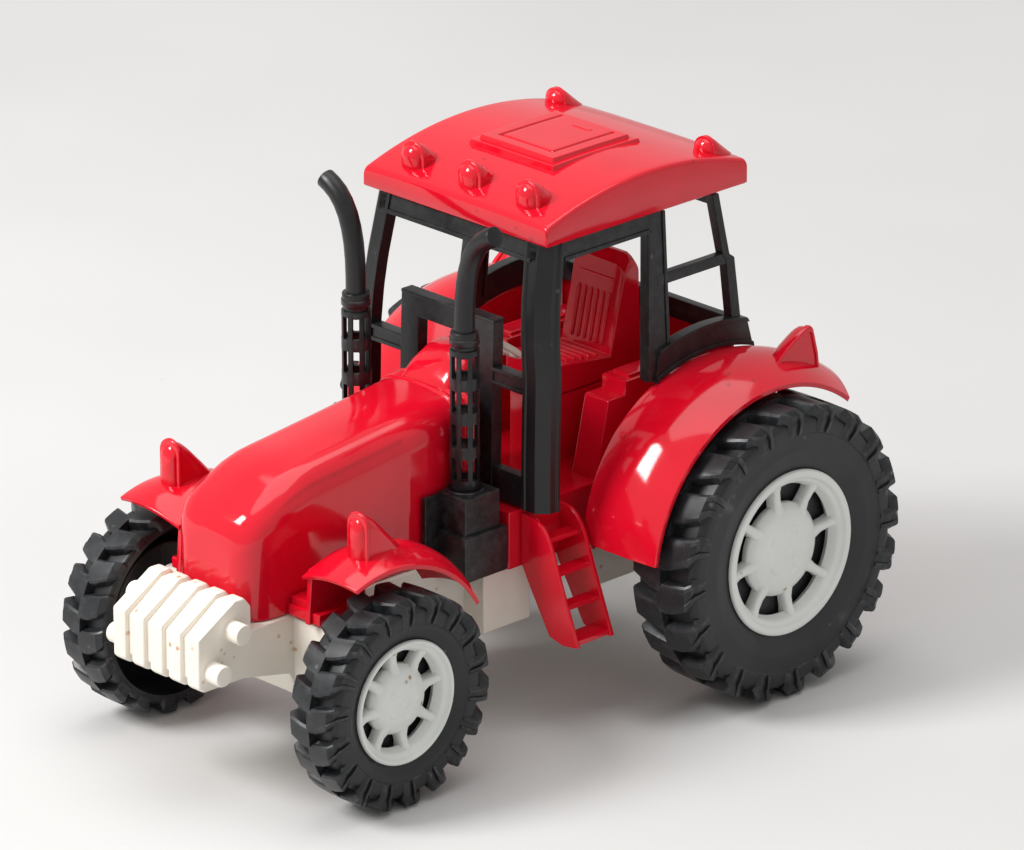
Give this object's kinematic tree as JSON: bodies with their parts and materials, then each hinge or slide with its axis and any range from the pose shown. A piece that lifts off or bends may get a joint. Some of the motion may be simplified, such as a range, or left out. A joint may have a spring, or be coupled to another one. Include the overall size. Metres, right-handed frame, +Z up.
{
  "type": "toy tractor",
  "caption": "Moulded toy tractor with hood, fenders, open cab frame, roof, seat, steering wheel, exhaust stacks, ladders, nose weights and free-rolling lugged wheels on two axles.",
  "frame": {"origin": "on the ground, under the middle of the whole toy", "axes": "+Z up, -Y towards the nose weights, +X towards the tractor's left"},
  "size_m": [0.113, 0.1652, 0.1182],
  "materials": {
    "glossy_red": "glossy moulded plastic",
    "ivory": "satin moulded plastic",
    "satin_black": "satin moulded plastic",
    "tyre_black": "satin moulded plastic",
    "pale_grey": "satin moulded plastic",
    "steel": "plain drawn wire"
  },
  "bodies": {
    "tractor": {"chassis": "ivory", "hood": "glossy_red", "steering_wheel": "ivory", "front_fender_left": "glossy_red", "front_fender_right": "glossy_red", "rear_fender_left": "glossy_red", "rear_fender_right": "glossy_red", "cab_tub": "glossy_red", "seat": "glossy_red", "cab_frame": "satin_black", "roof": "glossy_red", "exhaust_stack_left": "satin_black", "exhaust_stack_right": "satin_black", "side_box_left": "satin_black", "side_box_right": "satin_black", "ladder_left": "glossy_red", "ladder_right": "glossy_red", "hood_screw_left": "steel", "hood_screw_right": "steel", "tub_screw_left": "steel", "tub_screw_right": "steel"},
    "front_wheels": {"front_axle": "steel", "front_rim_left": "pale_grey", "front_rim_right": "pale_grey", "front_tyre_left": "tyre_black", "front_tyre_right": "tyre_black"},
    "rear_wheels": {"rear_axle": "steel", "rear_rim_left": "pale_grey", "rear_rim_right": "pale_grey", "rear_tyre_left": "tyre_black", "rear_tyre_right": "tyre_black"}
  },
  "joints": [
    {"name": "front_axle_spin", "type": "hinge", "parent": "tractor", "child": "front_wheels", "pos_m": [0, -0.0496, 0.0234], "axis": [1, 0, 0], "continuous": true},
    {"name": "rear_axle_spin", "type": "hinge", "parent": "tractor", "child": "rear_wheels", "pos_m": [0, 0.0496, 0.033], "axis": [1, 0, 0], "continuous": true}
  ]
}
